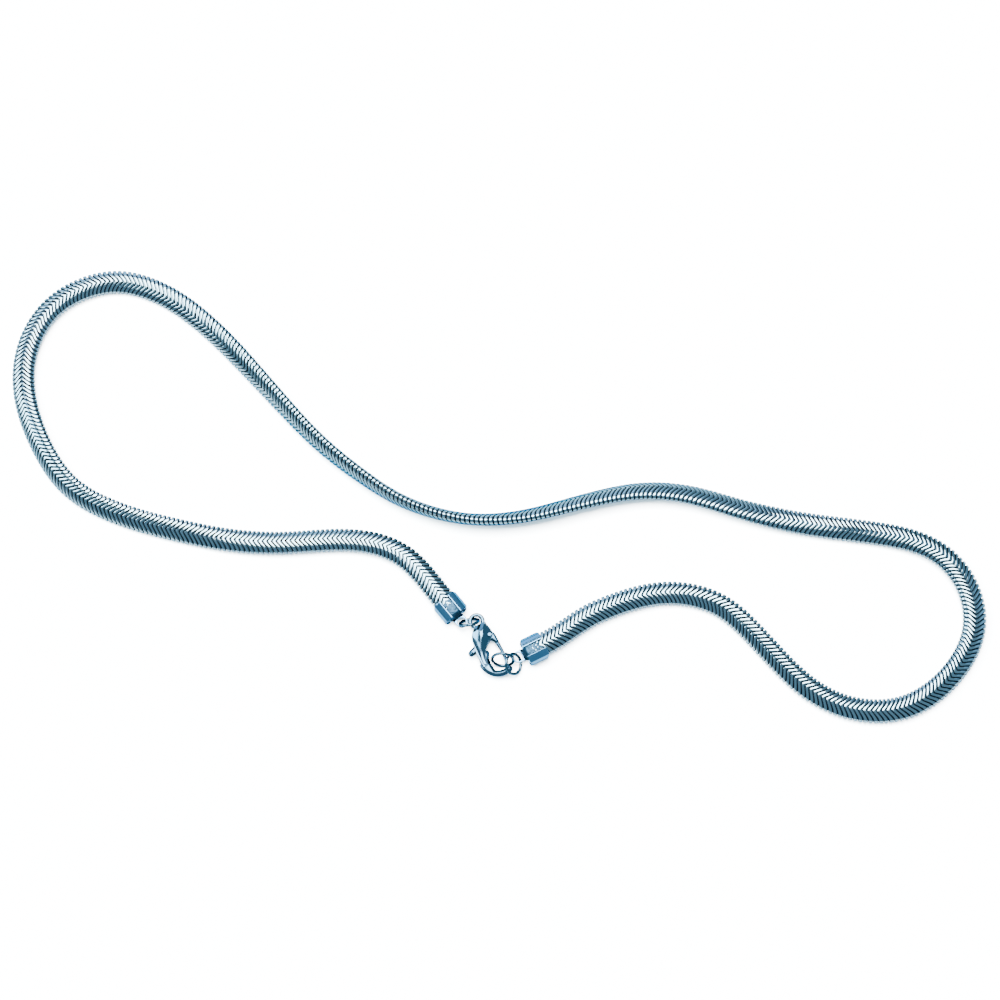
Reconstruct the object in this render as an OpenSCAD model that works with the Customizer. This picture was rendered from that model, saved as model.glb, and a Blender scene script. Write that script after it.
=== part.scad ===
// Snake chain necklace: an oval snake chain, two folded end caps, a lobster claw and three jump rings.
// Millimetres, +Z up. The necklace lies on z = 0 with the origin at the middle of its footprint.

/* [Chain] */
// Width of the chain's oval section
chain_w = 4.6; // [4.3:0.1:4.8]
// Thickness of the chain's oval section
chain_t = 2.4; // [2.2:0.1:2.6]

/* [End caps] */
// Thickness of the folded sheet
cap_wall = 0.3; // [0.25:0.05:0.35]
// Gap between the chain and the sheet around it
cap_fit = 0.06; // [0.04:0.02:0.1]
// Length of the sleeve that holds the chain
cap_len = 4.05; // [3.9:0.05:4.1]
// Gap between the two flanges folded over the chain
cap_slot = 1.9; // [1.4:0.1:2.4]
// Height of the tab's underside above the table
tab_rise = 0.95; // [0.9:0.05:1]
// Diameter of the tab's hole
tab_hole_d = 1.6; // [1.5:0.05:1.65]
// Width of the tab
tab_w = 2.3; // [2.2:0.05:2.4]

/* [Jump rings] */
// Diameter of the wire
wire_d = 0.58; // [0.52:0.01:0.6]
// Middle diameter of the ring in the claw's eye
eye_ring_d = 3.56; // [3.52:0.01:3.6]
// Middle diameter of the ring that the claw holds
catch_ring_d = 3.98; // [3.94:0.01:4.02]
// Middle diameter of the ring in the right tab
tab_ring_d = 3.8; // [3.76:0.01:3.84]
// Width of the cut in each ring
ring_cut = 0.06; // [0.04:0.01:0.1]

/* [Claw] */
// Thickness of the claw across its cheeks
claw_t = 2.6; // [2.5:0.05:2.7]
// Thickness of the claw's hook
hook_t = 1.4; // [1.3:0.05:1.5]
// Radius of the hook's middle line
hook_r = 3.2; // [3.16:0.01:3.22]
// Width of the hook seen from above
hook_w = 1.2; // [1.15:0.05:1.25]
// Diameter of the hole in the claw's eye
eye_hole_d = 1.64; // [1.55:0.01:1.7]
// Thickness of the eye's round rim
eye_rim = 0.76; // [0.7:0.02:0.8]

/* [Lever] */
// Thickness of the lever
lever_t = 1.0; // [0.9:0.05:1.1]
// Gap above and below the lever in the claw's slot
lever_gap = 0.05; // [0.04:0.01:0.1]
// Diameter of the rivet
pin_d = 0.7; // [0.6:0.05:0.8]
// Gap around the rivet in the lever
pin_gap = 0.03; // [0.02:0.01:0.05]
// Diameter of the ball at the thumb nub's tip
nub_d = 1.2; // [1.0:0.05:1.3]

/* [Hidden] */
$fn = 48;

// The chain's route from the right cap around to the left cap.
// Each row is x, y, the section's roll in degrees, and its share of the caps' lift.
ROUTE = [
    [6.7, -31.3, 0, 1], [9.7, -29.8, 0, 1], [20, -23.5, 5, 0.3], [32, -20, 0, 0],
    [42.5, -22, 15, 0], [50, -28.5, 25, 0], [58, -37, 15, 0], [67, -42, 5, 0],
    [77.5, -42, 5, 0], [86.5, -36, 15, 0], [91.5, -26.5, 5, 0], [89.5, -16.5, 5, 0],
    [81.5, -10, 0, 0], [68.5, -7.5, -15, 0], [58.5, -6, 0, 0], [48, -3.5, 20, 0],
    [37.5, -0.5, 30, 0], [27, 0, 40, 0], [15.5, -2.5, 50, 0], [5.5, -5, 60, 0],
    [-5.5, -5.5, 75, 0], [-16.5, -2.5, 90, 0], [-25.5, 3, 105, 0], [-34, 10, 115, 0],
    [-41.5, 18, 125, 0], [-49.5, 27, 140, 0], [-57, 34.5, 150, 0], [-65.5, 40.5, 160, 0],
    [-75.5, 43, 170, 0], [-85.5, 39, 180, 0], [-91, 30.5, 185, 0], [-91.5, 20, 190, 0],
    [-87.5, 9, 205, 0], [-81, 0.5, 210, 0], [-71.5, -4.5, 205, 0], [-61, -7.5, 200, 0],
    [-50.5, -9.5, 185, 0], [-40, -10, 175, 0], [-27.5, -9.5, 175, 0], [-17.5, -12.5, 180, 0.3],
    [-9.7, -21, 180, 1], [-7.4, -23.8, 180, 1]
];
LAST = len(ROUTE) - 1;
SIDES = 12;
cap_lift = cap_wall + cap_fit;

// Places of the small parts on the table
right_end = [ROUTE[0].x, ROUTE[0].y];
left_end = [ROUTE[LAST].x, ROUTE[LAST].y];
right_turn = heading(right_end - [ROUTE[1].x, ROUTE[1].y]);
left_turn = heading(left_end - [ROUTE[LAST - 1].x, ROUTE[LAST - 1].y]);
claw_at = [0.8, -32.3];
claw_turn = 30;
claw_mid = claw_t / 2;

// End caps
cap_mouth = -3.25;
cap_end = cap_mouth + cap_len;
cap_corner = 1.1;
cap_chamfer = 0.4;
ramp_from = 0.65;
ramp_to = 1.45;
tab_hole_x = 2.2;
tab_root = 0.5;
tab_bevel = 0.14;
cap_top = 4;
solder_to = 0.5;
solder_top = 2.35;
solder_corner = 0.6;

// Claw seen from above: u to the right, v towards the eye, origin at the hook's centre
EYE = [0, 8];
PIVOT = [0.75, 4.35];
CHEEK = [
    [1.15, 7.05], [-0.9, 7.05], [-1.6, 6.55], [-2.2, 5.95], [-2.55, 5.2], [-2.75, 4.2],
    [-3.0, 3.2], [-3.22, 2.2], [-3.35, 1.2], [-3.5, 0.4], [-3.62, -0.4], [-2.5, -0.5],
    [-2.3, 0.2], [-2.1, 1.0], [-1.5, 1.95], [-0.6, 2.8], [0.45, 3.5], [1.2, 3.95],
    [1.5, 4.6], [1.5, 5.5], [1.3, 6.4]
];
WEB = [
    [-3.1, 2.1], [-3.2, 0.4], [-3.25, -0.5], [-3.0, -1.4], [-2.6, -2.1], [-2.0, -2.6],
    [-1.65, -2.4], [-1.75, -1.2], [-1.7, -0.2], [-1.45, 0.6], [-1.05, 1.3], [-0.95, 1.8],
    [-1.4, 2.15], [-2.2, 2.3]
];
SLOT = [
    [-6, 2.2], [-3.0, 2.2], [-2.0, 2.45], [-1.0, 2.45], [-0.3, 2.6], [0.2, 2.2], [0.2, -1], [3, -1],
    [3, 5.0], [1.6, 5.4], [0.4, 5.65], [-1.2, 5.7], [-3, 5.5], [-6, 6.5]
];
LEVER = [
    [1.55, 4.75], [0.75, 5.1], [0.1, 4.85], [-1.0, 4.7], [-2.2, 4.3], [-3.2, 3.85], [-4.1, 3.55],
    [-4.1, 2.5], [-3.2, 2.55], [-2.2, 2.9], [-1.2, 3.3], [-0.3, 3.5], [0.5, 3.4], [0.85, 2.9],
    [1.0, 1.6], [0.98, 0.2], [0.8, -1.2], [0.66, -1.8], [0.9, -2.1], [1.2, -1.95],
    [1.4, -1.3], [1.6, 0.2], [1.68, 1.4], [1.75, 2.9], [1.8, 4.0]
];
NUB = [-4.0, 3.0];
hook_from = 176;
hook_to = 285;
tip_step = 0.02;
lens_mid = -0.7;
lens_half = 2.7;
web_t = 1.3;
claw_span = 4 * EYE.y;

// The lever's gate, below the line v = gate_top, is thinner than its upper part
gate_top = 2.4;
gate_t = 0.7;

// Rivet: radial fit in the cheeks, and how far its ends lie below their faces
pin_fit = 0.01;
pin_sink = 0.1;

// Rings: centre, the normal of the ring's plane, and the cut's angle round the ring
EYE_RING = [[-4.57, -25.72, 1.94], [-0.34, 1.75, 1], 90];
CATCH_RING = [[1.78, -32.99, 2.13], [-0.2, -2.37, 1.08], 200];
TAB_RING = [[3.8, -33.73, 1.69], [0.95, -0.17, 1.02], 20];

function heading(d) = atan2(d.y, d.x);
function unit(v) = v / norm(v);

// Route: a smooth curve through the points, straight in the two caps
function spot(i) = [ROUTE[i].x, ROUTE[i].y];
function tangent(i) =
    i <= 1 ? unit(spot(1) - spot(0)) * norm(spot(2) - spot(1))
    : i >= LAST - 1 ? unit(spot(LAST) - spot(LAST - 1)) * norm(spot(LAST - 1) - spot(LAST - 2))
    : i == 2 || i == LAST - 2 ? (spot(i + 1) - spot(i - 1)) / 2
    : (8 * (spot(i + 1) - spot(i - 1)) - (spot(i + 2) - spot(i - 2))) / 12;
function is_straight(i) = i == 0 || i == LAST - 1;
function place(i, t) =
    is_straight(i) ? spot(i) * (1 - t) + spot(i + 1) * t
    : spot(i) * (1 - 3 * t * t + 2 * t * t * t) + tangent(i) * (t - 2 * t * t + t * t * t)
        + spot(i + 1) * (3 * t * t - 2 * t * t * t) + tangent(i + 1) * (t * t * t - t * t);
function direction(i, t) =
    is_straight(i) ? unit(spot(i + 1) - spot(i))
    : unit(spot(i) * (6 * t * t - 6 * t) + tangent(i) * (1 - 4 * t + 3 * t * t)
        + spot(i + 1) * (6 * t - 6 * t * t) + tangent(i + 1) * (3 * t * t - 2 * t));
function mix(i, t, k) = ROUTE[i][k] * (1 - t) + ROUTE[i + 1][k] * t;

// Section: an oval rolled about the chain's direction, resting on the table or lifted by the caps
function oval(r) = [for (k = [0 : SIDES - 1])
    let (f = k * 360 / SIDES, n = chain_w / 2 * cos(f), h = chain_t / 2 * sin(f))
    [n * cos(r) - h * sin(r), n * sin(r) + h * cos(r)]];
function ring_points(i, t) =
    let (o = oval(mix(i, t, 2)), low = min([for (p = o) p.y]), c = place(i, t), d = direction(i, t))
    [for (p = o) [c.x - d.y * p.x, c.y + d.x * p.x, p.y - low + cap_lift * mix(i, t, 3)]];
STATIONS = concat([for (i = [0 : LAST - 1]) each is_straight(i) ? [[i, 0]] : [[i, 0], [i, 0.5]]],
    [[LAST - 1, 1]]);
RINGS = len(STATIONS);

module snake_chain() {
    points = [for (s = STATIONS) each ring_points(s[0], s[1])];
    walls = [for (j = [0 : RINGS - 2], k = [0 : SIDES - 1])
        let (a = j * SIDES + k, b = j * SIDES + (k + 1) % SIDES)
        each [[a, b, b + SIDES], [a, b + SIDES, a + SIDES]]];
    first = [for (k = [0 : SIDES - 1]) SIDES - 1 - k];
    final = [for (k = [0 : SIDES - 1]) (RINGS - 1) * SIDES + k];
    color([0.78, 0.82, 0.86]) polyhedron(points, concat([first], walls, [final]), 4);
}

// End cap: origin at the chain's end, x towards the clasp
module rounded(w, h, r) {
    square([w - 2 * r, h], center = true);
    square([w, h - 2 * r], center = true);
    for (x = [-1, 1], y = [-1, 1]) translate([x * (w / 2 - r), y * (h / 2 - r)]) circle(r);
}

module cap_sleeve() {
    in_w = chain_w + 2 * cap_fit;
    in_h = chain_t + 2 * cap_fit;
    mid_z = cap_wall + in_h / 2;
    translate([cap_mouth, 0, mid_z]) rotate([90, 0, 90]) linear_extrude(cap_len) difference() {
        rounded(in_w + 2 * cap_wall, in_h + 2 * cap_wall, cap_corner);
        rounded(in_w, in_h, cap_corner - cap_wall);
        translate([0, in_h]) square([cap_slot, 2 * in_h - 1], center = true);
    }
}

// Solder behind the chain's end, fused to the sheet around it
module cap_solder() {
    in_w = chain_w + 2 * cap_fit;
    overlap = cap_wall / 3;
    tall = solder_top - cap_wall + overlap;
    translate([cap_fit, 0, solder_top - tall / 2]) rotate([90, 0, 90])
        linear_extrude(solder_to - cap_fit) rounded(in_w + 2 * overlap, tall, solder_corner);
}

module cap_outline() {
    half = chain_w / 2 + cap_fit + cap_wall;
    polygon([
        [cap_mouth, half - cap_chamfer], [cap_mouth, cap_chamfer - half],
        [cap_mouth + cap_chamfer, -half], [cap_end - cap_chamfer, -half],
        [cap_end, cap_chamfer - half], [cap_end, half - cap_chamfer],
        [cap_end - cap_chamfer, half], [cap_mouth + cap_chamfer, half]
    ]);
}

module cap_tab() {
    intersection() {
        translate([0, tab_w / 2, 0]) rotate([90, 0, 0]) linear_extrude(tab_w) polygon([
            [-tab_root, 0], [ramp_from, 0], [ramp_to, tab_rise], [tab_hole_x + tab_w, tab_rise],
            [tab_hole_x + tab_w, tab_rise + cap_wall], [ramp_to - tab_bevel, tab_rise + cap_wall],
            [ramp_from - tab_bevel, cap_wall], [-tab_root, cap_wall]
        ]);
        linear_extrude(cap_top) {
            translate([-tab_root, -tab_w / 2]) square([tab_root + tab_hole_x, tab_w]);
            translate([tab_hole_x, 0]) circle(tab_w / 2);
        }
    }
}

module end_cap() {
    difference() {
        union() {
            intersection() {
                cap_sleeve();
                linear_extrude(cap_top) cap_outline();
            }
            cap_solder();
            cap_tab();
        }
        translate([tab_hole_x, 0, 0]) cylinder(h = cap_top, d = tab_hole_d);
    }
}

module end_cap_left() {
    color([0.8, 0.83, 0.87]) translate(left_end) rotate(left_turn) end_cap();
}

module end_cap_right() {
    color([0.8, 0.83, 0.87]) translate(right_end) rotate(right_turn) end_cap();
}

// Jump rings
module jump_ring(place, d) {
    n = unit(place[1]);
    color([0.75, 0.79, 0.83])
        translate(place[0]) rotate([0, acos(n.z), atan2(n.y, n.x)]) rotate(place[2]) difference() {
            rotate_extrude($fn = 72) translate([d / 2, 0]) circle(d = wire_d, $fn = 32);
            translate([d / 2, 0, 0]) cube([2 * wire_d, ring_cut, 2 * wire_d], center = true);
        }
}

module eye_ring() {
    jump_ring(EYE_RING, eye_ring_d);
}

module catch_ring() {
    jump_ring(CATCH_RING, catch_ring_d);
}

module tab_ring() {
    jump_ring(TAB_RING, tab_ring_d);
}

// Claw
// A closed smooth outline through the points
function smooth(p, k = 4) = [for (i = [0 : len(p) - 1], j = [0 : k - 1])
    let (n = len(p), t = j / k, a = p[(i + n - 1) % n], b = p[i], c = p[(i + 1) % n], d = p[(i + 2) % n])
    (2 * b + t * (c - a) + t * t * (2 * a - 5 * b + 4 * c - d)
        + t * t * t * (3 * b - a - 3 * c + d)) / 2];

module in_claw() {
    translate([claw_at.x, claw_at.y, claw_mid]) rotate(claw_turn) children();
}

module lens() {
    drop = (claw_t - hook_t) / 2;
    big = (lens_half * lens_half + drop * drop) / (2 * drop);
    intersection() {
        translate([lens_mid, 0, claw_t / 2 - big]) rotate([90, 0, 0])
            cylinder(h = claw_span, r = big, center = true, $fn = 240);
        translate([lens_mid, 0, big - claw_t / 2]) rotate([90, 0, 0])
            cylinder(h = claw_span, r = big, center = true, $fn = 240);
    }
}

module hook() {
    flat = hook_t - hook_w;
    rotate(hook_from) rotate_extrude(angle = hook_to - hook_from, $fn = 96) translate([hook_r, 0]) {
        square([hook_w, flat], center = true);
        for (s = [-1, 1]) translate([0, s * flat / 2]) circle(d = hook_w, $fn = 32);
    }
    tip_d = hook_w - 2 * tip_step;
    rotate(hook_to) translate([hook_r, 0, 0]) {
        cylinder(h = flat, d = tip_d, center = true);
        for (s = [-1, 1]) translate([0, 0, s * flat / 2]) sphere(d = tip_d);
    }
}

module clasp_body() {
    slot_t = lever_t + 2 * lever_gap;
    color([0.82, 0.85, 0.88]) in_claw() difference() {
        union() {
            intersection() {
                translate([0, 0, -claw_t]) linear_extrude(2 * claw_t) polygon(smooth(CHEEK));
                lens();
            }
            translate([0, 0, -web_t / 2]) linear_extrude(web_t) polygon(smooth(WEB));
            hook();
            translate([EYE.x, EYE.y, 0]) rotate_extrude($fn = 64)
                translate([(eye_hole_d + eye_rim) / 2, 0]) circle(d = eye_rim, $fn = 32);
        }
        translate([0, 0, -slot_t / 2]) linear_extrude(slot_t) polygon(SLOT);
        translate([EYE.x, EYE.y, 0]) cylinder(h = 2 * claw_t, d = eye_hole_d, center = true);
        translate([PIVOT.x, PIVOT.y, 0]) cylinder(h = 2 * claw_t, d = pin_d + 2 * pin_fit, center = true);
    }
}

module lever_part(t, low) {
    translate([0, 0, -t / 2]) linear_extrude(t) intersection() {
        polygon(smooth(LEVER));
        translate([-claw_span / 2, low]) square(claw_span);
    }
}

module clasp_lever() {
    color([0.76, 0.8, 0.84]) in_claw() difference() {
        union() {
            lever_part(lever_t, gate_top);
            lever_part(gate_t, -claw_span / 2);
            translate([NUB.x, NUB.y, 0]) rotate(claw_turn) sphere(d = nub_d);
        }
        translate([PIVOT.x, PIVOT.y, 0])
            cylinder(h = 2 * claw_t, d = pin_d + 2 * pin_gap, center = true);
    }
}

module clasp_pin() {
    color([0.7, 0.74, 0.78]) in_claw() translate([PIVOT.x, PIVOT.y, 0])
        cylinder(h = claw_t - 2 * pin_sink, d = pin_d, center = true);
}

snake_chain();
end_cap_left();
end_cap_right();
eye_ring();
clasp_body();
clasp_lever();
clasp_pin();
catch_ring();
tab_ring();
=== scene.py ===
"""Looks of the snake chain necklace: nested links, end caps, jump rings and claw, in metres."""

import logging
import math
from dataclasses import dataclass
from enum import Enum

import bpy
import numpy as np
from mathutils import Matrix, Vector, noise
from mathutils.kdtree import KDTree

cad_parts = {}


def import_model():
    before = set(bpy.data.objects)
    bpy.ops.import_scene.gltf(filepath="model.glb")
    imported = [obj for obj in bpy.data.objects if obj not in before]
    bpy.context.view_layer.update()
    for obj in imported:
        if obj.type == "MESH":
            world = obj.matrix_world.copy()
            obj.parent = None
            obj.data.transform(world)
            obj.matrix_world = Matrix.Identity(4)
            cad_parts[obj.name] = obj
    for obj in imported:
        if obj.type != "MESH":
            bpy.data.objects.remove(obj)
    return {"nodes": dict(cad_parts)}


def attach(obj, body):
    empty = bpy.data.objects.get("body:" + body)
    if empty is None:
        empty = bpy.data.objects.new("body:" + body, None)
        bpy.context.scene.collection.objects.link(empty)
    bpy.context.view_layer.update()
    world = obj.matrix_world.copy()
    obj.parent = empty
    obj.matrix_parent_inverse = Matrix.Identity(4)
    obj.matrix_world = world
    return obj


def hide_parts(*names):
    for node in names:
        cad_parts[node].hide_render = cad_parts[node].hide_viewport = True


MM = 0.001
SEED = 11
# Mix and math nodes have several sockets of one name, so theirs go by number
MIX_SHARE, MIX_FIRST, MIX_SECOND, MIX_RESULT = 0, 6, 7, 2
MATH_VALUE, MATH_FACTOR, MATH_ADDED = 0, 1, 2
Triple = tuple[float, float, float]
log = logging.getLogger("necklace")


class Body(Enum):
    """The two rigid bodies of the necklace."""

    NECKLACE = "necklace"
    LEVER = "lever"


class Slot(Enum):
    """Names of material slots for the pieces' finishes, which nothing in the script uses."""

    CHAIN = "chain"
    END_CAP = "end_cap"
    JUMP_RING = "jump_ring"
    CLAW = "claw"
    LEVER = "lever"


# Finishes


class Wiring:
    """A new material's shader nodes, with patterns in object space."""

    def __init__(self, name: str) -> None:
        """Starts the material.

        Args:
            name: Name of the material.
        """
        self.material = bpy.data.materials.new(name)
        self.material.use_nodes = True
        self.tree = self.material.node_tree
        self.shader = self.tree.nodes["Principled BSDF"]
        self.place = self.tree.nodes.new("ShaderNodeTexCoord")

    def join(self, start: bpy.types.NodeSocket, end: bpy.types.NodeSocket) -> None:
        """Wires one socket to another."""
        self.tree.links.new(start, end)

    def grain(self, scale: float, detail: float) -> bpy.types.NodeSocket:
        """Adds a noise pattern.

        Args:
            scale: Repeats per metre.
            detail: Octaves of the noise.

        Returns:
            The pattern's value.
        """
        node = self.tree.nodes.new("ShaderNodeTexNoise")
        node.inputs["Scale"].default_value = scale
        node.inputs["Detail"].default_value = detail
        self.join(self.place.outputs["Object"], node.inputs["Vector"])
        return node.outputs["Fac"]

    def mix(self, share: bpy.types.NodeSocket, first: Triple | bpy.types.NodeSocket,
            second: Triple) -> bpy.types.NodeSocket:
        """Mixes two colours.

        Args:
            share: How much of the second colour shows.
            first: The first colour, or the socket that gives it.
            second: The second colour.

        Returns:
            The mixed colour.
        """
        node = self.tree.nodes.new("ShaderNodeMix")
        node.data_type = "RGBA"
        if isinstance(first, tuple):
            node.inputs[MIX_FIRST].default_value = (*first, 1.0)
        else:
            self.join(first, node.inputs[MIX_FIRST])
        node.inputs[MIX_SECOND].default_value = (*second, 1.0)
        self.join(share, node.inputs[MIX_SHARE])
        return node.outputs[MIX_RESULT]

    def spread(self, value: bpy.types.NodeSocket, span: tuple[float, float],
               result: tuple[float, float]) -> bpy.types.NodeSocket:
        """Maps a value from one span to another.

        Args:
            value: The value to map.
            span: The span that it comes from.
            result: The span that it goes to.

        Returns:
            The mapped value.
        """
        node = self.tree.nodes.new("ShaderNodeMapRange")
        node.inputs["From Min"].default_value, node.inputs["From Max"].default_value = span
        node.inputs["To Min"].default_value, node.inputs["To Max"].default_value = result
        self.join(value, node.inputs["Value"])
        return node.outputs["Result"]

    def scale_add(self, value: bpy.types.NodeSocket, factor: float,
                  added: bpy.types.NodeSocket) -> bpy.types.NodeSocket:
        """Multiplies a value by a number and adds another value.

        Args:
            value: The value to multiply.
            factor: The number.
            added: The value to add.

        Returns:
            The sum.
        """
        node = self.tree.nodes.new("ShaderNodeMath")
        node.operation = "MULTIPLY_ADD"
        node.inputs[MATH_FACTOR].default_value = factor
        self.join(value, node.inputs[MATH_VALUE])
        self.join(added, node.inputs[MATH_ADDED])
        return node.outputs["Value"]


@dataclass(frozen=True)
class MetalFinish:
    """Polished silver-coloured metal with faint clouds, fine scratches, and painted shade that
    darkens its recesses.
    """

    name: str
    light: Triple
    shade: Triple
    smoothest: float
    roughest: float
    scratch: float
    # Painted shade: the colour that the metal darkens to deep in recesses
    painted_recess_shade: Triple = (0.002, 0.005, 0.009)
    rim: Triple = (0.18, 0.27, 0.34)
    cloud_scale: float = 420.0
    cloud_detail: float = 4.0
    grain_scale: float = 5200.0
    grain_detail: float = 3.0
    grain_span: tuple[float, float] = (0.3, 0.7)
    recess_roughness: float = 0.35
    scratch_depth: float = 0.02 * MM

    def material(self) -> bpy.types.Material:
        """Builds the material.

        Returns:
            The new material, with its shader nodes wired.
        """
        wiring = Wiring(self.name)
        sockets = wiring.shader.inputs
        sockets["Metallic"].default_value = 1.0
        sockets["Specular Tint"].default_value = (*self.rim, 1.0)

        # Painted shade: the stored recess depth darkens the colour towards the recess shade, and
        # also roughens the surface
        depth = wiring.tree.nodes.new("ShaderNodeAttribute")
        depth.attribute_name = "depth"
        clouds = wiring.grain(self.cloud_scale, self.cloud_detail)
        tint = wiring.mix(clouds, self.light, self.shade)
        wiring.join(wiring.mix(depth.outputs["Fac"], tint, self.painted_recess_shade), sockets["Base Color"])

        grain = wiring.grain(self.grain_scale, self.grain_detail)
        rough = wiring.spread(grain, self.grain_span, (self.smoothest, self.roughest))
        worn = wiring.scale_add(depth.outputs["Fac"], self.recess_roughness, rough)
        wiring.join(worn, sockets["Roughness"])

        bump = wiring.tree.nodes.new("ShaderNodeBump")
        bump.inputs["Strength"].default_value = self.scratch
        bump.inputs["Distance"].default_value = self.scratch_depth
        wiring.join(grain, bump.inputs["Height"])
        wiring.join(bump.outputs["Normal"], sockets["Normal"])
        return wiring.material


@dataclass(frozen=True)
class FloorFinish:
    """Matt white board whose tone varies a little."""

    name: str = "white_board"
    white: Triple = (0.93, 0.94, 0.95)
    other: Triple = (0.91, 0.93, 0.945)
    pattern_scale: float = 9.0
    pattern_detail: float = 2.0
    roughness: tuple[float, float] = (0.45, 0.60)
    refraction: float = 1.3

    def material(self) -> bpy.types.Material:
        """Builds the material.

        Returns:
            The new material, with its shader nodes wired.
        """
        wiring = Wiring(self.name)
        sockets = wiring.shader.inputs
        sockets["IOR"].default_value = self.refraction
        pattern = wiring.grain(self.pattern_scale, self.pattern_detail)
        wiring.join(wiring.mix(pattern, self.white, self.other), sockets["Base Color"])
        rough = wiring.spread(pattern, (0.0, 1.0), self.roughness)
        wiring.join(rough, sockets["Roughness"])
        return wiring.material


CHAIN_METAL = MetalFinish(
    "chain_metal", light=(0.060, 0.092, 0.110), shade=(0.040, 0.068, 0.085),
    smoothest=0.07, roughest=0.15, scratch=0.10)
CAP_METAL = MetalFinish(
    "cap_metal", light=(0.026, 0.066, 0.108), shade=(0.019, 0.054, 0.092),
    smoothest=0.07, roughest=0.14, scratch=0.12)
SOLDER_METAL = MetalFinish(
    "solder_metal", light=(0.012, 0.030, 0.048), shade=(0.005, 0.014, 0.025),
    smoothest=0.45, roughest=0.62, scratch=0.20)
RING_METAL = MetalFinish(
    "ring_metal", light=(0.014, 0.030, 0.044), shade=(0.009, 0.022, 0.034),
    smoothest=0.05, roughest=0.10, scratch=0.06)
CLAW_METAL = MetalFinish(
    "claw_metal", light=(0.020, 0.040, 0.058), shade=(0.012, 0.028, 0.044),
    smoothest=0.06, roughest=0.12, scratch=0.08)
LEVER_METAL = MetalFinish(
    "lever_metal", light=(0.010, 0.024, 0.038), shade=(0.007, 0.018, 0.030),
    smoothest=0.06, roughest=0.12, scratch=0.08)


# Shared mesh work


def link_up(name: str, data: bpy.types.ID) -> bpy.types.Object:
    """Makes an object of a mesh, a light or a camera and links it to the scene.

    Args:
        name: Name of the object.
        data: The mesh, light or camera.

    Returns:
        The object.
    """
    made = bpy.data.objects.new(name, data)
    bpy.context.scene.collection.objects.link(made)
    return made


def add_mesh(name: str, points: np.ndarray, faces: list[list[int]],
             sharp_deg: float | None = 40.0) -> bpy.types.Object:
    """Makes a smooth-shaded mesh object.

    Args:
        name: Name of the object.
        points: Corner positions in metres, one row each.
        faces: Corner numbers of each face.
        sharp_deg: Edges that turn by more than this stay crisp. None leaves them all smooth.

    Returns:
        The object, linked to the scene.
    """
    mesh = bpy.data.meshes.new(name)
    mesh.from_pydata(points.tolist(), [], faces)
    mesh.update()
    mesh.shade_smooth()
    if sharp_deg is not None:
        mesh.set_sharp_from_angle(angle=math.radians(sharp_deg))
    return link_up(name, mesh)


def full_turn(count: int) -> np.ndarray:
    """Angles of evenly spaced points round a circle, in radians."""
    return np.arange(count) * 2 * math.pi / count


def smooth_step(share: np.ndarray) -> np.ndarray:
    """Eases shares from 0 to 1 in and out."""
    return share * share * (3.0 - 2.0 * share)


def set_shade_depth(piece: bpy.types.Object, values: np.ndarray) -> None:
    """Stores how far each corner lies in a recess, from 0 on the outside to 1 deep inside, for
    the painted shade that darkens recesses.

    Args:
        piece: The mesh object.
        values: One number for each corner.
    """
    layer = piece.data.attributes.new("depth", "FLOAT", "POINT")
    layer.data.foreach_set("value", np.clip(values, 0.0, 1.0).astype(np.float32))


def dress(piece: bpy.types.Object, finish: bpy.types.Material,
          body: Body) -> None:
    """Gives a piece its finish and its body, and logs it.

    Args:
        piece: The object.
        finish: The material for all of it.
        body: The body that it moves with.
    """
    piece.data.materials.clear()
    piece.data.materials.append(finish)
    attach(piece, body.value)
    log.info("%s: %d faces on %s", piece.name, len(piece.data.polygons), body.value)


def soften(source: bpy.types.Object, name: str, grain: float, rounds: int,
           strength: float = 0.5) -> bpy.types.Object:
    """Copies a source solid, recuts its surface in small even faces and smooths its edges.

    Args:
        source: The source solid.
        name: Name of the new piece.
        grain: Face size in millimetres.
        rounds: Smoothing rounds.
        strength: How far each round evens a corner out, from 0 to 1.

    Returns:
        The new piece in the same place, in metres.
    """
    copied = source.data.copy()
    corner = np.zeros(len(copied.vertices) * 3, np.float32)
    copied.vertices.foreach_get("co", corner)
    copied.vertices.foreach_set("co", corner / MM)
    work = link_up(name + "_work", copied)
    cut = work.modifiers.new("cut", "REMESH")
    cut.mode = "VOXEL"
    cut.voxel_size = grain
    cut.use_smooth_shade = True
    smooth = work.modifiers.new("smooth", "SMOOTH")
    smooth.factor = strength
    smooth.iterations = rounds
    graph = bpy.context.evaluated_depsgraph_get()
    mesh = bpy.data.meshes.new_from_object(work.evaluated_get(graph))
    bpy.data.objects.remove(work)
    corner = np.zeros(len(mesh.vertices) * 3, np.float32)
    mesh.vertices.foreach_get("co", corner)
    mesh.vertices.foreach_set("co", corner * MM)
    mesh.name = name
    mesh.update()
    mesh.shade_smooth()
    return link_up(name, mesh)


def corners_of(piece: bpy.types.Object) -> tuple[np.ndarray, np.ndarray]:
    """Reads a piece's corners.

    Args:
        piece: The mesh object.

    Returns:
        Places in millimetres and unit normals, one row each.
    """
    count = len(piece.data.vertices)
    place, facing = np.zeros(count * 3, np.float32), np.zeros(count * 3, np.float32)
    piece.data.vertices.foreach_get("co", place)
    piece.data.vertices.foreach_get("normal", facing)
    return place.reshape(-1, 3).astype(float) / MM, facing.reshape(-1, 3)


def move_corners(piece: bpy.types.Object, place: np.ndarray) -> None:
    """Moves a piece's corners.

    Args:
        piece: The mesh object.
        place: New places in millimetres, one row each.
    """
    piece.data.vertices.foreach_set("co", (place * MM).astype(np.float32).ravel())
    piece.data.update()


# Chain


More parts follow.
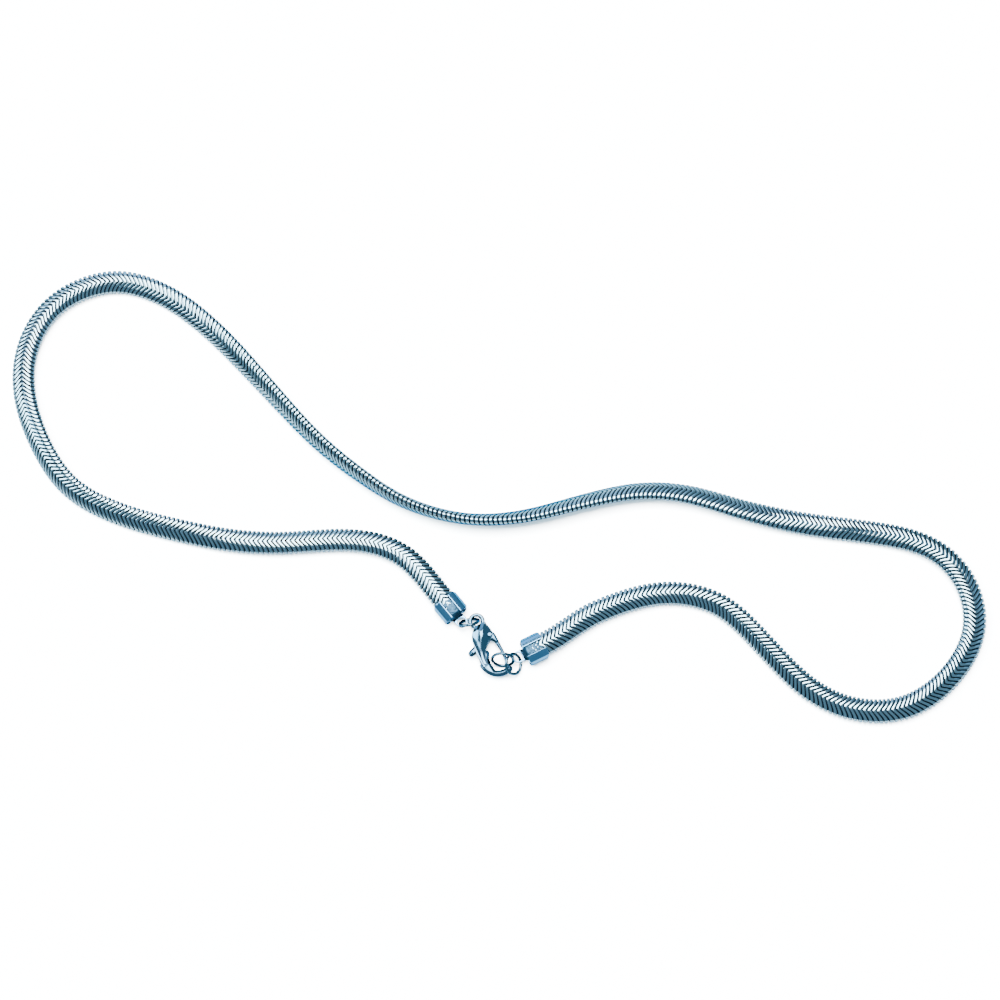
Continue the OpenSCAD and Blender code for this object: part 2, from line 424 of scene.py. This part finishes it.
@dataclass(frozen=True)
class Track:
    """The chain's centre line in small steps: metres, unit directions and radians."""

    run: np.ndarray
    place: np.ndarray
    way: np.ndarray
    roll: np.ndarray
    lift: np.ndarray

    def read(self, values: np.ndarray, along: np.ndarray) -> np.ndarray:
        """Reads one of the track's rows of values at distances along it."""
        return np.interp(along, self.run, values)


@dataclass
class Route:
    """The chain's way over the table, through chosen points, straight in the two end caps."""

    # x and y in metres, the section's roll in degrees, and its share of the caps' lift
    points: tuple[tuple[float, float, float, float], ...] = (
        (0.0067, -0.0313, 0, 1), (0.0097, -0.0298, 0, 1), (0.020, -0.0235, 5, 0.3),
        (0.032, -0.020, 0, 0), (0.0425, -0.022, 15, 0), (0.050, -0.0285, 25, 0),
        (0.058, -0.037, 15, 0), (0.067, -0.042, 5, 0), (0.0775, -0.042, 5, 0),
        (0.0865, -0.036, 15, 0), (0.0915, -0.0265, 5, 0), (0.0895, -0.0165, 5, 0),
        (0.0815, -0.010, 0, 0), (0.0685, -0.0075, -15, 0), (0.0585, -0.006, 0, 0),
        (0.048, -0.0035, 20, 0), (0.0375, -0.0005, 30, 0), (0.027, 0.0, 40, 0),
        (0.0155, -0.0025, 50, 0), (0.0055, -0.005, 60, 0), (-0.0055, -0.0055, 75, 0),
        (-0.0165, -0.0025, 90, 0), (-0.0255, 0.003, 105, 0), (-0.034, 0.010, 115, 0),
        (-0.0415, 0.018, 125, 0), (-0.0495, 0.027, 140, 0), (-0.057, 0.0345, 150, 0),
        (-0.0655, 0.0405, 160, 0), (-0.0755, 0.043, 170, 0), (-0.0855, 0.039, 180, 0),
        (-0.091, 0.0305, 185, 0), (-0.0915, 0.020, 190, 0), (-0.0875, 0.009, 205, 0),
        (-0.081, 0.0005, 210, 0), (-0.0715, -0.0045, 205, 0), (-0.061, -0.0075, 200, 0),
        (-0.0505, -0.0095, 185, 0), (-0.040, -0.010, 175, 0), (-0.0275, -0.0095, 175, 0),
        (-0.0175, -0.0125, 180, 0.3), (-0.0097, -0.021, 180, 1), (-0.0074, -0.0238, 180, 1),
    )
    steps: int = 60
    # The solid chain cuts the far curves a little short, so the links follow it
    ease: float = 0.9980

    @staticmethod
    def _slopes(spot: np.ndarray) -> np.ndarray:
        """Works out which way the curve runs at each chosen point.

        Args:
            spot: x and y of the chosen points.

        Returns:
            The curve's slope at each point, for one stretch between two points.
        """
        last = len(spot) - 1
        slope = np.zeros_like(spot)
        for i in range(last + 1):
            if i <= 1:
                way = spot[1] - spot[0]
                slope[i] = way / np.linalg.norm(way) * np.linalg.norm(spot[2] - spot[1])
            elif i >= last - 1:
                way = spot[last] - spot[last - 1]
                stretch = np.linalg.norm(spot[last - 1] - spot[last - 2])
                slope[i] = way / np.linalg.norm(way) * stretch
            elif i in (2, last - 2):
                slope[i] = (spot[i + 1] - spot[i - 1]) / 2
            else:
                # The slope of the curve through five points in a row
                slope[i] = (8 * (spot[i + 1] - spot[i - 1]) - (spot[i + 2] - spot[i - 2])) / 12
        return slope

    def sample(self) -> Track:
        """Follows the route in small steps.

        Returns:
            The track.
        """
        rows = np.array(self.points, float)
        spot, roll, lift = rows[:, :2], np.radians(rows[:, 2]), rows[:, 3]
        slope = self._slopes(spot)
        last = len(spot) - 1
        t = np.arange(self.steps)[:, None] / self.steps
        place, rolls, lifts = [], [], []
        for i in range(last):
            if i in (0, last - 1):
                here = spot[i] * (1 - t) + spot[i + 1] * t
            else:
                # The cubic curve with these places and slopes at its two ends
                here = (spot[i] * (1 - 3 * t**2 + 2 * t**3) + slope[i] * (t - 2 * t**2 + t**3)
                        + spot[i + 1] * (3 * t**2 - 2 * t**3) + slope[i + 1] * (t**3 - t**2))
            place.append(here)
            rolls.append(roll[i] * (1 - t[:, 0]) + roll[i + 1] * t[:, 0])
            lifts.append(lift[i] * (1 - t[:, 0]) + lift[i + 1] * t[:, 0])
        line = np.vstack(place + [spot[-1:]]) * self.ease
        gap = np.linalg.norm(np.diff(line, axis=0), axis=1)
        run = np.concatenate([[0.0], np.cumsum(gap)])
        way = np.gradient(line, run, axis=0)
        way /= np.linalg.norm(way, axis=1)[:, None]
        return Track(run, line, way, np.concatenate(rolls + [roll[-1:]]),
                     np.concatenate(lifts + [lift[-1:]]))


@dataclass
class SnakeChain:
    """The oval chain of nested wavy links, in four joined runs."""

    half_width: float = 2.28 * MM
    half_thick: float = 1.18 * MM
    pitch: float = 0.89 * MM
    # Each link runs back to a corner in the middle of each wide face and rounds off at the edges
    wave: float = 0.75 * MM
    round_from: float = 0.8
    roundness: float = 6.0
    least_out: float = 0.03
    cap_lift: float = 0.36 * MM
    table_gap: float = 0.02 * MM
    round_points: int = 48
    # One link's section: along the chain in pitches, and in from the oval in millimetres
    section: tuple[tuple[float, float], ...] = (
        (-0.36, -0.18), (-0.30, -0.03), (-0.14, 0.0), (0.15, 0.0), (0.31, -0.03), (0.37, -0.18),
        (0.40, -0.42), (0.85, -0.46), (0.85, -0.56), (-0.05, -0.56), (-0.36, -0.36),
    )
    # Depths in millimetres where the painted shade in the gaps between links starts, and how soon
    # it is fully dark
    painted_shade_from: float = 0.05
    painted_shade_run: float = 0.12
    # The ends' margin and the spacing's spread are in pitches, and the roll's spread in degrees
    end_margin: float = 1.2
    spacing_spread: float = 0.006
    turn_spread: float = 0.5
    runs: tuple[str, ...] = (
        "chain_right_lobe", "chain_upper_strand", "chain_left_lobe", "chain_lower_strand")

    def link_points(self, track: Track, middle: float, turn: float) -> np.ndarray:
        """Corners of one link.

        Args:
            track: The chain's centre line.
            middle: The link's distance along it.
            turn: Its small extra roll in radians.

        Returns:
            Corner positions, section by section round the oval.
        """
        angle = full_turn(self.round_points)
        out = np.maximum(np.abs(np.cos(angle)), self.least_out) / self.round_from
        rounded = (1.0 + out ** -self.roundness) ** (-1.0 / self.roundness)
        wave = self.wave * (2.0 * rounded - 1.0)
        section = np.array(self.section)
        along = middle + section[None, :, 0] * self.pitch + wave[:, None]
        along = np.clip(along, track.run[0], track.run[-1])
        inward = section[None, :, 1] * MM
        across = (self.half_width + inward) * np.cos(angle)[:, None]
        upward = (self.half_thick + inward) * np.sin(angle)[:, None]
        roll = track.read(track.roll, along) + turn
        lift = track.read(track.lift, along) * self.cap_lift
        height = np.hypot(self.half_width * np.sin(roll), self.half_thick * np.cos(roll))
        side = across * np.cos(roll) - upward * np.sin(roll)
        rise = across * np.sin(roll) + upward * np.cos(roll)
        x = track.read(track.place[:, 0], along) - track.read(track.way[:, 1], along) * side
        y = track.read(track.place[:, 1], along) + track.read(track.way[:, 0], along) * side
        z = self.table_gap + height + lift + rise
        return np.stack([x, y, z], axis=-1).reshape(-1, 3)

    def link_faces(self) -> np.ndarray:
        """Corner numbers of one link's faces.

        Returns:
            One row of four corners for each face.
        """
        rows, cols = self.round_points, len(self.section)
        a, b = np.meshgrid(np.arange(rows), np.arange(cols), indexing="ij")
        c, d = (a + 1) % rows, (b + 1) % cols
        corners = [a * cols + b, a * cols + d, c * cols + d, c * cols + b]
        return np.stack(corners, axis=-1).reshape(-1, 4)

    def build(self, route: Route, finish: bpy.types.Material) -> None:
        """Builds all links, in runs that stand for the chain together.

        Args:
            route: The chain's route.
            finish: The material of the links.
        """
        rng = np.random.default_rng(SEED)
        track = route.sample()
        length = track.run[-1]
        count = int((length - self.end_margin * self.pitch) / self.pitch)
        start = (length - (count - 1) * self.pitch) / 2
        spread = rng.normal(0, self.spacing_spread, count)
        middles = start + np.arange(count) * self.pitch + spread * self.pitch
        turns = rng.normal(0, math.radians(self.turn_spread), count)
        faces = self.link_faces()
        inward = np.array(self.section)[:, 1]
        # Painted shade: corners that lie deeper in the gaps between links get darker
        painted_shade = np.clip((-inward - self.painted_shade_from) / self.painted_shade_run, 0, 1)
        depth = np.tile(painted_shade, self.round_points)
        for name, group in zip(self.runs, np.array_split(np.arange(count), len(self.runs))):
            points = [self.link_points(track, middles[i], turns[i]) for i in group]
            size = len(points[0])
            joined = np.concatenate([faces + k * size for k in range(len(group))])
            piece = add_mesh(name, np.concatenate(points), joined.tolist())
            set_shade_depth(piece, np.tile(depth, len(group)))
            dress(piece, finish, Body.NECKLACE)
            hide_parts("snake_chain")


# Small parts


@dataclass
class JumpRing:
    """A ring bent from round wire, with its cut. In metres, and the cut's place in degrees."""

    name: str
    node: str
    centre: Triple
    normal: Triple
    middle_diameter: float
    cut_at: float
    wire: float = 0.58 * MM
    cut: float = 0.06 * MM
    end_ease: float = 0.9
    round_points: int = 120
    wire_points: int = 28
    sharp_deg: float = 50.0

    def _points(self) -> np.ndarray:
        """Corners of the wire, turn by turn, and then the middles of its two ends.

        Returns:
            Corner positions in metres, one row each.
        """
        n = Vector(self.normal).normalized()
        turn = (Matrix.Rotation(math.atan2(n.y, n.x), 3, "Z")
                @ Matrix.Rotation(math.acos(n.z), 3, "Y"))
        half_cut = self.cut / self.middle_diameter
        sweep = np.linspace(half_cut, 2 * math.pi - half_cut, self.round_points)
        angle = math.radians(self.cut_at) + sweep
        wire = full_turn(self.wire_points)
        radius = self.middle_diameter / 2
        ease = np.ones(self.round_points)
        ease[[0, -1]] = self.end_ease
        reach = radius + np.outer(ease, np.cos(wire)) * self.wire / 2
        flat = np.stack([reach * np.cos(angle)[:, None], reach * np.sin(angle)[:, None],
                         np.outer(ease, np.sin(wire)) * self.wire / 2], axis=-1).reshape(-1, 3)
        ends = np.array([[radius * math.cos(angle[k]), radius * math.sin(angle[k]), 0.0]
                         for k in (0, -1)])
        return np.vstack([flat, ends]) @ np.array(turn).T + np.array(self.centre)

    def _faces(self) -> list[list[int]]:
        """Corner numbers of the wire's faces and of the fans that close its ends.

        Returns:
            Four or three corners for each face.
        """
        rows, cols = self.round_points, self.wire_points
        last = (rows - 1) * cols
        around = [[r * cols + c, (r + 1) * cols + c, (r + 1) * cols + (c + 1) % cols,
                   r * cols + (c + 1) % cols] for r in range(rows - 1) for c in range(cols)]
        first_end = [[rows * cols, c, (c + 1) % cols] for c in range(cols)]
        last_end = [[rows * cols + 1, last + (c + 1) % cols, last + c] for c in range(cols)]
        return around + first_end + last_end

    def build(self, finish: bpy.types.Material) -> None:
        """Builds the ring.

        Args:
            finish: The material of the wire.
        """
        made = add_mesh(self.name, self._points(), self._faces(), self.sharp_deg)
        dress(made, finish, Body.NECKLACE)
        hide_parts(self.node)


@dataclass
class EndCap:
    """A folded end cap with rounded sheet edges. Sizes and places are in millimetres."""

    name: str
    node: str
    at: tuple[float, float]
    way: tuple[float, float]
    grain: float = 0.06
    rounds: int = 7
    middle: float = 1.56
    half_height: float = 1.2
    lean: float = 0.25
    lean_from: float = 0.8

    def build(self, nodes: dict[str, bpy.types.Object], finish: bpy.types.Material) -> None:
        """Builds the cap.

        Args:
            nodes: The source solids by name.
            finish: The material of the sheet.
        """
        made = soften(nodes[self.node], self.name, self.grain, self.rounds)
        self.lean_flanges(made)
        dress(made, finish, Body.NECKLACE)
        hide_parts(self.node)

    def lean_flanges(self, made: bpy.types.Object) -> None:
        """Slopes the two flanges down to the sides, as sheet folded over an oval chain lies.

        Args:
            made: The cap.
        """
        place, _ = corners_of(made)
        ahead = np.array(self.way) / np.hypot(*self.way)
        out = place[:, :2] - np.array(self.at)
        side = np.abs(out[:, 1] * ahead[0] - out[:, 0] * ahead[1])
        share = smooth_step(np.clip((place[:, 2] - self.middle) / self.half_height, 0, 1))
        place[:, 2] -= self.lean * np.clip(side - self.lean_from, 0, None) * share
        move_corners(made, place)


@dataclass
class Solder:
    """The lumpy solder and crushed links between an end cap's two flanges, in metres."""

    name: str
    node: str
    at: tuple[float, float]
    way: tuple[float, float]
    middle: float = -0.96 * MM
    height: float = 1.62 * MM
    half_size: Triple = (2.12 * MM, 1.30 * MM, 1.16 * MM)
    # 1 is an egg shape, and 0 a box
    corner: float = 0.55
    rows: int = 48
    columns: int = 180
    lump: float = 0.20 * MM
    lump_size: float = 0.30 * MM
    # How soon finer lumps fade, how much finer each kind is, and how many kinds there are
    lump_fade: float = 1.0
    lump_step: float = 2.0
    lump_kinds: int = 3
    # The front end runs down to the tab
    slope_from: float = 0.2 * MM
    slope_run: float = 1.2 * MM
    slope: float = 0.5
    narrowing: float = 0.15

    def _points(self) -> np.ndarray:
        """Corners of the lump, row by row from one side of the cap to the other.

        Returns:
            Corner positions in metres, one row each.
        """
        rise = (np.arange(self.rows) + 0.5) / self.rows * math.pi - math.pi / 2
        up, around = np.meshgrid(rise, full_turn(self.columns), indexing="ij")
        ball = (np.cos(up) * np.cos(around), np.sin(up), -np.cos(up) * np.sin(around))
        boxy = [np.sign(v) * np.abs(v) ** self.corner * half
                for v, half in zip(ball, self.half_size)]
        shape = np.stack(boxy, axis=-1).reshape(-1, 3)
        start = Vector((*self.at, 0.0)) / MM
        bump = np.array([noise.fractal(Vector(row / self.lump_size) + start, self.lump_fade,
                                       self.lump_step, self.lump_kinds) for row in shape])
        shape *= (1.0 + self.lump * bump / np.linalg.norm(shape, axis=1))[:, None]
        shape += np.array([self.middle, 0.0, self.height])
        ramp = (shape[:, 0] - self.slope_from) / self.slope_run
        share = smooth_step(np.clip(ramp, 0.0, 1.0))
        shape[:, 1] *= 1.0 - self.narrowing * share
        shape[:, 2] *= 1.0 - self.slope * share
        ahead = np.array(self.way) / np.hypot(*self.way)
        x = self.at[0] + shape[:, 0] * ahead[0] - shape[:, 1] * ahead[1]
        y = self.at[1] + shape[:, 0] * ahead[1] + shape[:, 1] * ahead[0]
        return np.stack([x, y, shape[:, 2]], axis=-1)

    def _faces(self) -> list[list[int]]:
        """Corner numbers of the lump's faces and of the two faces that close its sides.

        Returns:
            The corners of each face.
        """
        r, c = np.meshgrid(np.arange(self.rows - 1), np.arange(self.columns), indexing="ij")
        d = (c + 1) % self.columns
        quads = np.stack([r * self.columns + c, r * self.columns + d,
                          (r + 1) * self.columns + d, (r + 1) * self.columns + c],
                         axis=-1).reshape(-1, 4)
        last = (self.rows - 1) * self.columns
        first_side = list(range(self.columns))[::-1]
        last_side = list(range(last, last + self.columns))
        return quads.tolist() + [first_side, last_side]

    def build(self, finish: bpy.types.Material) -> None:
        """Builds the lump.

        Args:
            finish: The material of the solder.
        """
        made = add_mesh(self.name, self._points(), self._faces(), None)
        dress(made, finish, Body.NECKLACE)
        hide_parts(self.node)


@dataclass
class LobsterClaw:
    """The claw's casting, its lever and its rivet. Sizes and places are in millimetres."""

    body_grain: float = 0.055
    body_rounds: int = 9
    lever_grain: float = 0.05
    lever_rounds: int = 6
    pin_grain: float = 0.04
    pin_rounds: int = 3
    middle: float = 1.3
    rivet_at: tuple[float, float] = (-0.7255, -28.158)
    rivet_clear: float = 0.5
    # Each rounding runs from an edge height above the middle plane, over a width from the outline
    cheek_edge: float = 0.75
    cheek_dome: float = 1.9
    hook_edge: float = 0.28
    hook_dome: float = 0.6
    lever_edge: float = 0.18
    lever_dome: float = 0.42
    dome_power: float = 1.5
    # The hook's rounding fades out over this width beside the cheeks
    hook_clear: float = 0.45
    # The hook's outline ends this far below the cheeks' edge
    hook_margin: float = 0.1
    # The outline is where faces stand upright, from this share of the edge height
    upright: float = 0.35
    wall_share: float = 0.8

    def build(self, nodes: dict[str, bpy.types.Object], claw: bpy.types.Material,
              lever: bpy.types.Material) -> None:
        """Builds the three pieces.

        Args:
            nodes: The source solids by name.
            claw: The material of the casting.
            lever: The material of the lever and the rivet.
        """
        body = soften(nodes["clasp_body"], "claw_casting", self.body_grain, self.body_rounds)
        self.dome(body, self.cheek_edge, self.cheek_dome)
        self.round_hook(body)
        dress(body, claw, Body.NECKLACE)
        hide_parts("clasp_body")
        arm = soften(nodes["clasp_lever"], "claw_lever", self.lever_grain, self.lever_rounds)
        self.dome(arm, self.lever_edge, self.lever_dome)
        dress(arm, lever, Body.LEVER)
        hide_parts("clasp_lever")
        pin = soften(nodes["clasp_pin"], "claw_rivet", self.pin_grain, self.pin_rounds)
        dress(pin, lever, Body.NECKLACE)
        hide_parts("clasp_pin")

    @staticmethod
    def _plan(rows: np.ndarray) -> KDTree:
        """Sorts corners by where they stand in plan.

        Args:
            rows: Places in millimetres, one row each.

        Returns:
            A search tree that leaves out the heights.
        """
        tree = KDTree(len(rows))
        for i, row in enumerate(rows):
            tree.insert((row[0], row[1], 0.0), i)
        tree.balance()
        return tree

    def _share(self, gap: float, width: float) -> float:
        """How much of its height a spot keeps, from 0 on the outline to 1 a width in from it."""
        return 1.0 - (1.0 - min(gap / width, 1.0)) ** self.dome_power

    def dome(self, piece: bpy.types.Object, edge_height: float, width: float) -> None:
        """Rounds a flat-sided casting down to its outline.

        Args:
            piece: The casting or the lever.
            edge_height: Height of the outline above the claw's middle plane, in millimetres.
            width: How far in from the outline the rounding reaches, in millimetres.
        """
        place, facing = corners_of(piece)
        height = place[:, 2] - self.middle
        level = np.abs(height)
        apart = np.hypot(place[:, 0] - self.rivet_at[0], place[:, 1] - self.rivet_at[1])
        wall = ((np.abs(facing[:, 2]) < self.upright) & (level > self.wall_share * edge_height)
                & (apart > self.rivet_clear))
        outline = self._plan(place[wall])
        for i in np.flatnonzero(level > edge_height):
            gap = outline.find((place[i, 0], place[i, 1], 0.0))[2]
            lift = edge_height + (level[i] - edge_height) * self._share(gap, width)
            place[i, 2] = self.middle + math.copysign(lift, height[i])
        move_corners(piece, place)

    def round_hook(self, piece: bpy.types.Object) -> None:
        """Rounds the flat faces of the hook and the eye, which lie lower than the cheeks.

        Args:
            piece: The casting, with its cheeks domed.
        """
        place, facing = corners_of(piece)
        height = place[:, 2] - self.middle
        level = np.abs(height)
        wall = ((np.abs(facing[:, 2]) < self.upright) & (level > self.wall_share * self.hook_edge)
                & (level < self.cheek_edge - self.hook_margin))
        outline = self._plan(place[wall])
        cheeks = self._plan(place[level > self.cheek_edge])
        for i in np.flatnonzero((level > self.hook_edge) & (level <= self.cheek_edge)):
            spot = (place[i, 0], place[i, 1], 0.0)
            share = self._share(outline.find(spot)[2], self.hook_dome)
            clear = min(cheeks.find(spot)[2] / self.hook_clear, 1.0)
            lift = level[i] - (level[i] - self.hook_edge) * (1.0 - share) * clear
            place[i, 2] = self.middle + math.copysign(lift, height[i])
        move_corners(piece, place)


# Studio


@dataclass(frozen=True)
class Softbox:
    """One square light that faces the necklace, in metres and watts."""

    name: str
    at: Triple
    size: float
    power: float
    tint: Triple

    def build(self) -> None:
        """Adds the light to the scene."""
        lamp = bpy.data.lights.new(self.name, "AREA")
        lamp.size = self.size
        lamp.energy = self.power
        lamp.color = self.tint
        made = link_up(self.name, lamp)
        made.location = self.at
        made.rotation_euler = (-Vector(self.at)).to_track_quat("-Z", "Y").to_euler()


@dataclass
class Studio:
    """White board, softboxes and the camera at the photo's angle."""

    look_at: Triple = (0.001258, -0.0012, 0.0)
    elevation: float = 75.0
    distance: float = 0.48
    frame_width: float = 0.193
    sensor_mm: float = 36.0
    nearest: float = 0.01
    floor_size: float = 6.0
    room_tint: Triple = (0.20, 0.30, 0.36)
    room_strength: float = 8.0
    softboxes: tuple[Softbox, ...] = (
        Softbox("window", (-0.06, 0.25, 0.92), 0.62, 150.0, (1.0, 0.97, 0.93)),
        Softbox("north_wall", (-0.28, 0.92, 0.50), 0.90, 26.0, (0.50, 0.75, 1.0)),
        Softbox("west_wall", (-0.80, 0.15, 0.62), 0.60, 95.0, (0.80, 0.96, 1.0)),
        Softbox("east_wall", (0.95, 0.10, 0.45), 0.60, 4.0, (0.35, 0.66, 1.0)),
    )

    def build(self) -> None:
        """Sets up the floor, the lights and the camera."""
        half = self.floor_size / 2
        corners = np.array([[-half, -half, 0], [half, -half, 0], [half, half, 0],
                            [-half, half, 0]], float)
        floor = add_mesh("floor", corners, [[0, 1, 2, 3]])
        floor.data.materials.append(FloorFinish().material())
        for softbox in self.softboxes:
            softbox.build()
        self._room()
        self._camera()

    def _room(self) -> None:
        """Lights the scene from all round with an even tone."""
        world = bpy.data.worlds.new("room")
        bpy.context.scene.world = world
        world.use_nodes = True
        back = world.node_tree.nodes["Background"]
        back.inputs["Color"].default_value = (*self.room_tint, 1.0)
        back.inputs["Strength"].default_value = self.room_strength

    def _camera(self) -> None:
        """Sets the camera at the photo's viewing angle."""
        lens = bpy.data.cameras.new("photo_camera")
        lens.sensor_width = self.sensor_mm
        lens.lens = self.sensor_mm * self.distance / self.frame_width
        lens.clip_start = self.nearest
        eye = link_up("photo_camera", lens)
        lift = math.radians(self.elevation)
        ahead = Vector((0.0, math.cos(lift), -math.sin(lift)))
        eye.location = Vector(self.look_at) - ahead * self.distance
        eye.rotation_euler = ahead.to_track_quat("-Z", "Y").to_euler()
        bpy.context.scene.camera = eye


# The necklace's caps, solder and rings


CAPS = (
    EndCap("left_end_cap", "end_cap_left", (-7.4, -23.8), (2.3, -2.8)),
    EndCap("right_end_cap", "end_cap_right", (6.7, -31.3), (-3.0, -1.5)),
)
SOLDERS = (
    Solder("left_solder", "end_cap_left", (-0.0074, -0.0238), (2.3, -2.8)),
    Solder("right_solder", "end_cap_right", (0.0067, -0.0313), (-3.0, -1.5)),
)
RINGS = (
    JumpRing("ring_in_eye", "eye_ring", centre=(-0.00457, -0.02572, 0.00194),
             normal=(-0.34, 1.75, 1.0), middle_diameter=3.56 * MM, cut_at=90),
    JumpRing("ring_in_claw", "catch_ring", centre=(0.00178, -0.03299, 0.00213),
             normal=(-0.2, -2.37, 1.08), middle_diameter=3.98 * MM, cut_at=200),
    JumpRing("ring_in_tab", "tab_ring", centre=(0.0038, -0.03373, 0.00169),
             normal=(0.95, -0.17, 1.02), middle_diameter=3.8 * MM, cut_at=20),
)


def main() -> None:
    """Builds every piece in order."""
    logging.basicConfig(level=logging.INFO, format="%(message)s")
    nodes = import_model()["nodes"]
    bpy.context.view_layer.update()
    SnakeChain().build(Route(), CHAIN_METAL.material())
    cap_metal = CAP_METAL.material()
    for cap in CAPS:
        cap.build(nodes, cap_metal)
    solder_metal = SOLDER_METAL.material()
    for solder in SOLDERS:
        solder.build(solder_metal)
    ring_metal = RING_METAL.material()
    for ring in RINGS:
        ring.build(ring_metal)
    LobsterClaw().build(nodes, CLAW_METAL.material(), LEVER_METAL.material())
    Studio().build()


if __name__ == "__main__":
    main()
